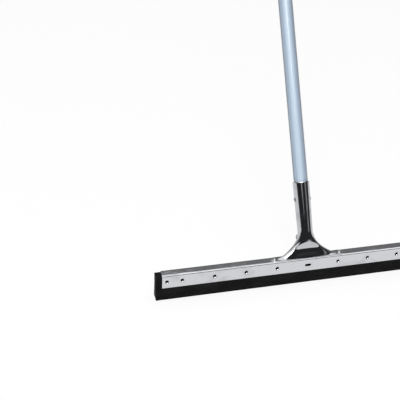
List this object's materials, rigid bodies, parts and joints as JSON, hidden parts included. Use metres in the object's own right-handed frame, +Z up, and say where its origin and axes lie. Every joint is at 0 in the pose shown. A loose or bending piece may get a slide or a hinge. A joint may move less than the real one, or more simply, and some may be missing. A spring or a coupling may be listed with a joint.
{
  "type": "floor squeegee",
  "caption": "Long-handled squeegee: chromed folded channel gripping two black foam strips, flared socket riveted on top, sleeved steel handle leaning back, hanging cap.",
  "frame": {"origin": "middle of the blade's sole, where the two foam strips meet the floor", "axes": "+X along the blade to the right, +Y to the rear, the way the handle leans, +Z up"},
  "size_m": [0.55, 0.6753, 1.1579],
  "materials": {
    "chromed_sheet": "bright chromed sheet steel, fine drawing lines",
    "chromed_stamping": "bright chromed stamping",
    "foam": "closed-cell foam rubber, matt, fine pores on the cut faces",
    "plated_rivet": "plated, slightly dull",
    "mandrel_steel": "broken steel",
    "tube_steel": "plain welded tube",
    "blue_sleeve": "smooth shrunk plastic sleeve, satin gloss",
    "cap_plastic": "moulded plastic, fine texture"
  },
  "bodies": {
    "root": {"channel": "chromed_sheet", "foam_front": "foam", "foam_rear": "foam", "socket": "chromed_stamping", "foot_rivets": "plated_rivet", "handle_rivets": "plated_rivet", "rivet_mandrels": "mandrel_steel", "handle_tube": "tube_steel", "handle_sleeve": "blue_sleeve", "hanging_cap": "cap_plastic"}
  },
  "joints": []
}
